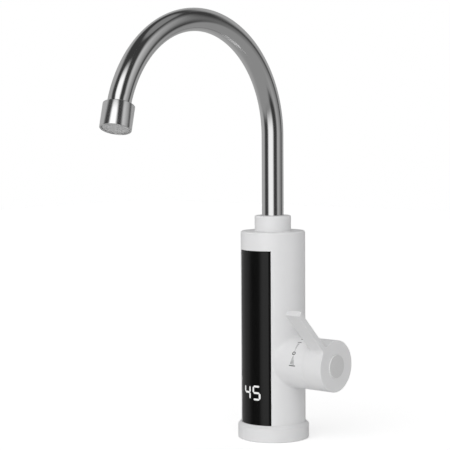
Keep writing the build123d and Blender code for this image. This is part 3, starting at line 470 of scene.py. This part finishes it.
# %% [markdown]
# The display window is black plastic with a hard gloss coat. Nearly all that one sees on it is the studio,
# dim, in its clear surface. A picture of the studio could be painted on it, but that would stand still when
# one walks round the tap. So the gloss is real, and it isn't perfect glass: wiping leaves faint changes of
# shine, and the sheet has a very slight wave.

# %% Display window
window_tone = 0.0035
window_wiped_tone = 0.00525
window_ior = 1.37
window_shine = (0.15, 0.165)
wipe_size = 5.0 * mm
wipe_stretch = (1, 1, 0.3)
wipe_fade = (0.3, 0.8)
wave_size = 30.0 * mm
wave_depth = 0.002

window_finish, wire = new_finish("window_gloss")
wave = wire.noise(wave_size, detail=1.0)
wiped = wire.noise(wipe_size, detail=3.0, place=wire.place(wipe_stretch))
close_finish(wire, {"Base Color": wiped.as_grey(window_tone, window_wiped_tone),
                    "Roughness": wiped.rise(*wipe_fade, *window_shine),
                    "Normal": wave.as_relief(wave_depth), "IOR": window_ior})
finishes["window"] = window_finish

# %% [markdown]
# The figures are lit segments, so they look alike from every side and hardly shine. A lamp behind a cut-out
# mask would work as in the real display. A material that gives a little light of its own is simpler, and
# its faint clouds keep the segments from looking printed.

# %% Lit figures
digit_light = 0.58
digit_tones = (0.27, 0.31)
digit_glow = (0.95, 1.0)
digit_shine = (0.35, 0.45)
digit_fade = (0.2, 0.8)
digit_cloud = 2.0 * mm

digit_finish, wire = new_finish("lit_figures")
glow = wire.noise(digit_cloud, detail=1.0)
close_finish(wire, {"Base Color": glow.as_grey(*digit_tones),
                    "Roughness": glow.rise(*digit_fade, *digit_shine),
                    "Emission Color": glow.as_grey(*digit_glow), "Emission Strength": digit_light})
finishes["digits"] = digit_finish

# %% [markdown]
# Chrome plate on a drawn tube is bright and nearly a mirror. What sets it apart from a perfect one are the
# fine polishing lines, which blur the reflections a little more in some places, and a faint wave left by
# drawing and bending the tube. The relief is kept tiny, because a mirror doubles every change of slope.

# %% Chrome
chrome_tones = (0.785, 0.815)
chrome_shine = (0.09, 0.12)
chrome_haze = 12.0 * mm
polish_line = 0.5 * mm
polish_stretch = (1, 1, 0.2)
polish_share = 0.03
drawn_wave = 26.0 * mm
drawn_depth = 0.008

chrome_finish, wire = new_finish("chrome_plate")
polish = wire.noise(polish_line, detail=2.0, place=wire.place(polish_stretch))
drawn = wire.noise(drawn_wave, detail=1.0)
haze = wire.noise(chrome_haze, detail=3.0)
rough = haze.rise(*usual_noise, *chrome_shine) + (polish - noise_middle) * polish_share
close_finish(wire, {"Base Color": haze.as_grey(*chrome_tones), "Roughness": rough,
                    "Normal": drawn.as_relief(drawn_depth), "Metallic": 1.0})
finishes["spout_metal"] = chrome_finish

# %% [markdown]
# The outlet sleeve is turned on a lathe before it is plated, and shines softer than the tube. The turning
# marks run round it, so their noise is drawn out along both level axes and stays short along the upright
# one. The tube's chrome would do too, but its stripes would be too sharp on the sleeve.

# %% Satin chrome for the outlet sleeve
satin_tones = (0.87, 0.89)
satin_shine = (0.15, 0.19)
satin_haze = 8.0 * mm
turning_line = 0.4 * mm
turning_stretch = (0.2, 0.2, 1)
turning_depth = 0.001

satin_finish, wire = new_finish("satin_chrome")
turning = wire.noise(turning_line, detail=2.0, place=wire.place(turning_stretch))
haze = wire.noise(satin_haze, detail=2.0)
close_finish(wire, {"Base Color": haze.as_grey(*satin_tones),
                    "Roughness": haze.rise(*usual_noise, *satin_shine),
                    "Normal": turning.as_relief(turning_depth), "Metallic": 1.0})

# %% [markdown]
# The record names a material slot for every CAD node. The finishes could go to the nodes one by one, but by
# slot the pieces of one make stay alike, and no node is forgotten.

# %% Every CAD node gets the finish of its slot
for row in frame["record"]["subparts"]:
    for slot in nodes[row["node"]].material_slots:
        slot.material = finishes[row["material_slot"]]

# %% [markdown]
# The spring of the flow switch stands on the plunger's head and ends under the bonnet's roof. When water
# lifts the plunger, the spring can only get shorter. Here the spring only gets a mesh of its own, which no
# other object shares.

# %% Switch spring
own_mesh(nodes["switch_spring"])

# %% [markdown]
# The new pieces are made as one works by hand: start from a plain shape, select a few faces or edges, then
# pull, inset or bevel them. Where the hand clicks, the script selects by a test, such as all edges at one
# height. That still picks the right ones after a size has changed.

# %% Working by hand
crease_angle = math.radians(40)
close_to = 0.01 * mm
upright = 0.9


def start_editing():
    """Opens the new primitive in edit mode with nothing selected."""
    bpy.ops.object.mode_set(mode="EDIT")
    bpy.ops.mesh.select_all(action="DESELECT")


def pick(piece, kind, wanted):
    """Selects the faces or edges that the wanted test accepts, and nothing else."""
    bpy.ops.mesh.select_mode(type=kind)
    bpy.ops.mesh.select_all(action="DESELECT")
    bpy.ops.object.mode_set(mode="OBJECT")
    mesh = piece.data
    if kind == "FACE":
        for face in mesh.polygons:
            face.select = bool(wanted(face.center, face.normal))
    else:
        for edge in mesh.edges:
            edge.select = bool(wanted(*[mesh.vertices[index].co for index in edge.vertices]))
    bpy.ops.object.mode_set(mode="EDIT")


def at_end(side):
    """Test for flat faces at the upper end, where side is 1, or at the lower end, where it is -1."""
    return lambda centre, normal: normal.z * side > upright


def at_height(*heights):
    """Test for edges that lie level at one of the heights."""
    return lambda first, second: any(abs(first.z - height) < close_to and abs(second.z - height) < close_to
                                     for height in heights)


def on_ring(radius, *heights):
    """Test for edges that run round at the radius and at one of the heights."""
    return lambda *ends: at_height(*heights)(*ends) and all(
        abs(math.hypot(end.x, end.y) - radius) < close_to for end in ends)


def pull(x=0.0, y=0.0, z=0.0):
    bpy.ops.mesh.extrude_region_move(TRANSFORM_OT_translate={"value": (x, y, z)})


def turn_faces_out():
    bpy.ops.mesh.select_all(action="SELECT")
    bpy.ops.mesh.normals_make_consistent(inside=False)


def shade_round():
    """Shades the active piece smooth, but for the edges where its faces meet at a clear angle."""
    bpy.ops.object.mode_set(mode="OBJECT")
    bpy.ops.object.shade_smooth_by_angle(angle=crease_angle)


def close_piece(piece, name, slot, body, *replaced, finish=None):
    """Names a finished piece, gives it its finish, puts it on its body and hides the CAD parts it replaces.
    """
    bpy.ops.object.mode_set(mode="OBJECT")
    bpy.ops.object.select_all(action="DESELECT")
    piece.select_set(True)
    bpy.context.view_layer.objects.active = piece
    piece.name = name
    piece.data.name = name
    piece.data.materials.clear()
    piece.data.materials.append(finish or finishes[slot])
    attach(piece, body)
    if replaced:
        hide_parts(*replaced)
    lowest = [min(vertex.co[axis] for vertex in piece.data.vertices) / mm for axis in range(3)]
    highest = [max(vertex.co[axis] for vertex in piece.data.vertices) / mm for axis in range(3)]
    print(name, "mm", [round(value, 1) for value in lowest], [round(value, 1) for value in highest],
          "faces", len(piece.data.polygons))


print("Tests for faces and edges, and the last steps of every piece")

# %% [markdown]
# The gooseneck is one tube: straight up out of the collar, round nearly a half circle, a slight turn to the
# side and a bit straight on into the outlet. By hand one draws a circle, pulls it up, spins it about the
# arch's centre and then a little about an axis beside its end. The wall comes last, so that the open ends
# show a real thickness. A curve with a bevel would do too, but the spin gives rings square to the tube,
# which mirror the studio in clean stripes.

# %% Spout
tube_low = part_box("spout_tube")[0]
tube_radius = -tube_low.x
arch_radius = 96.2 * mm
arch_start = 264.6 * mm
arch_angle = math.radians(160.0)
side_bend_radius = 40.0 * mm
side_bend_angle = math.radians(7.4)
tube_wall = 1.0 * mm
tube_tail = 13.8 * mm
tube_sides = 96
arch_steps = 280
side_bend_steps = 20
merge_distance = 0.001 * mm

sideways = Vector((1, 0, 0))
arch_end = Vector((0, -arch_radius + arch_radius * math.cos(arch_angle),
                   arch_start + arch_radius * math.sin(arch_angle)))
arch_way = Vector((0, -math.sin(arch_angle), math.cos(arch_angle)))
side_bend_centre = arch_end + sideways * side_bend_radius
side_bend_axis = Vector((0, math.cos(arch_angle), math.sin(arch_angle)))
outlet_way = arch_way * math.cos(side_bend_angle) + sideways * math.sin(side_bend_angle)
tail_start = side_bend_centre + (arch_way * math.sin(side_bend_angle)
                                 - sideways * math.cos(side_bend_angle)) * side_bend_radius

bpy.ops.mesh.primitive_circle_add(vertices=tube_sides, radius=tube_radius, location=(0, 0, tube_low.z))
spout = bpy.context.object
bpy.ops.object.transform_apply()
start_editing()
bpy.ops.mesh.select_all(action="SELECT")
pull(z=arch_start - tube_low.z)
bpy.ops.mesh.spin(steps=arch_steps, angle=-arch_angle, center=(0, -arch_radius, arch_start), axis=(1, 0, 0))
bpy.ops.mesh.spin(steps=side_bend_steps, angle=-side_bend_angle, center=side_bend_centre,
                  axis=side_bend_axis)
pull(*(outlet_way * tube_tail))
bpy.ops.mesh.select_all(action="SELECT")
bpy.ops.mesh.remove_doubles(threshold=merge_distance)
turn_faces_out()
bpy.ops.object.mode_set(mode="OBJECT")
wall = spout.modifiers.new("wall", "SOLIDIFY")
wall.thickness = tube_wall
wall.offset = -1.0
bpy.ops.object.modifier_apply(modifier=wall.name)
shade_round()
close_piece(spout, "spout_gooseneck", "spout_metal", "spout", "spout_tube")

# %% [markdown]
# The outlet sleeve is a short turned tube that is screwed over the spout's end. Its rims are broken by a
# small round, so they catch a thin line of light, and its mouth is bored wider to hold the stream former.
# It is turned upright at the origin, where faces are easy to pick, and then tilted to the spout's end.

# %% Outlet sleeve
sleeve_radius = 12.7 * mm
sleeve_length = 20.4 * mm
sleeve_start = 2.3 * mm
sleeve_mouth = 11.5 * mm
neck_clearance = 0.1 * mm
sleeve_neck = tube_radius + neck_clearance
sleeve_neck_depth = tube_tail - sleeve_start
sleeve_round = 0.5 * mm
sleeve_round_steps = 4
sleeve_sides = 128

bpy.ops.mesh.primitive_cylinder_add(vertices=sleeve_sides, radius=sleeve_radius, depth=sleeve_length)
sleeve = bpy.context.object
start_editing()
pick(sleeve, "FACE", at_end(1))
bpy.ops.mesh.inset(thickness=sleeve_radius - sleeve_neck)
pull(z=-sleeve_neck_depth)
bpy.ops.mesh.delete(type="ONLY_FACE")
pick(sleeve, "FACE", at_end(-1))
bpy.ops.mesh.inset(thickness=sleeve_radius - sleeve_mouth)
pull(z=sleeve_length - sleeve_neck_depth)
bpy.ops.mesh.delete(type="ONLY_FACE")
print("Sleeve bored from both ends")

# %% Outlet sleeve, joined inside and put on the spout
step_height = sleeve_length / 2 - sleeve_neck_depth
rim = sleeve_length / 2
outer_rims = on_ring(sleeve_radius, rim, -rim)
mouth_rim = on_ring(sleeve_mouth, -rim)
outlet_turn = Vector((0, 0, 1)).rotation_difference(-outlet_way).to_euler()


def put_on_spout(piece, distance):
    """Tilts an upright piece to the outlet, with its middle at the distance from the tube's last bend."""
    piece.rotation_euler = outlet_turn
    piece.location = tail_start + outlet_way * distance
    bpy.ops.object.transform_apply()


pick(sleeve, "EDGE", at_height(step_height))
bpy.ops.mesh.bridge_edge_loops()
pick(sleeve, "EDGE", lambda *ends: outer_rims(*ends) or mouth_rim(*ends))
bpy.ops.mesh.bevel(offset=sleeve_round, segments=sleeve_round_steps, affect="EDGES")
turn_faces_out()
shade_round()
put_on_spout(sleeve, sleeve_start + sleeve_length / 2)
close_piece(sleeve, "outlet_sleeve", "spout_metal", "spout", "aerator_housing", finish=satin_finish)

# %% [markdown]
# The outlet ends in a fine woven screen. Each wire is much thinner than a CAD model needs, but at the outlet
# a few big holes read as dark dots, where the real thing is an even grey. A grid cut to a circle and turned
# into wires by one modifier is quick, and a ring hides its stepped rim.

# %% Outlet screen
screen_radius = 11.4 * mm
screen_pitch = 0.7 * mm
screen_wire = 0.56 * mm
screen_rim = 0.3 * mm
screen_recess = 1.0 * mm
screen_rim_sides = 96
screen_rim_facets = 12
screen_cells = 2 * int(screen_radius / screen_pitch) + 2

bpy.ops.mesh.primitive_grid_add(x_subdivisions=screen_cells, y_subdivisions=screen_cells,
                                size=screen_cells * screen_pitch)
screen = bpy.context.object
start_editing()
pick(screen, "FACE", lambda centre, normal: math.hypot(centre.x, centre.y) > screen_radius - 2 * screen_rim)
bpy.ops.mesh.delete(type="FACE")
bpy.ops.object.mode_set(mode="OBJECT")
wires = screen.modifiers.new("wires", "WIREFRAME")
wires.thickness = screen_wire
bpy.ops.object.modifier_apply(modifier=wires.name)
start_editing()
bpy.ops.mesh.primitive_torus_add(major_segments=screen_rim_sides, minor_segments=screen_rim_facets,
                                 major_radius=screen_radius - screen_rim, minor_radius=screen_rim)
shade_round()
put_on_spout(screen, sleeve_start + sleeve_length - screen_recess - screen_rim)
close_piece(screen, "outlet_screen", "outlet_plastic", "spout", "aerator_screen")

# %% [markdown]
# The knob turns a hair's breadth off the housing's boss. Seen from the front this slit would be a black line,
# so a thin white slide ring fills its outer edge, as such knobs have against grit. It is a flat washer:
# a disc with both faces inset, their middles taken out and the two holes joined.

# %% Slide ring of the knob
boss_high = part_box("body_shell")[1]
knob_low, knob_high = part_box("handle_knob")
slit = knob_low.x - boss_high.x
ring_fill = 0.7
ring_inset = 0.1 * mm
ring_radius = knob_high.y - ring_inset
ring_width = 1.6 * mm
ring_thickness = slit * ring_fill
ring_sides = 128
cap_middle = (cap_low.z + cap_high.z) / 2

bpy.ops.mesh.primitive_cylinder_add(vertices=ring_sides, radius=ring_radius, depth=ring_thickness)
ring = bpy.context.object
start_editing()
for side in (1, -1):
    pick(ring, "FACE", at_end(side))
    bpy.ops.mesh.inset(thickness=ring_width)
    bpy.ops.mesh.delete(type="ONLY_FACE")
pick(ring, "EDGE", on_ring(ring_radius - ring_width, ring_thickness / 2, -ring_thickness / 2))
bpy.ops.mesh.bridge_edge_loops()
turn_faces_out()
shade_round()
ring.rotation_euler = (0, math.radians(90), 0)
ring.location = (boss_high.x + slit / 2, 0, cap_middle)
bpy.ops.object.transform_apply()
close_piece(ring, "knob_slide_ring", "handle", "housing")

# %% [markdown]
# The dressed model must be as large as the CAD model. A look at the picture can't tell a millimetre, so each
# new piece prints its box in millimetres.
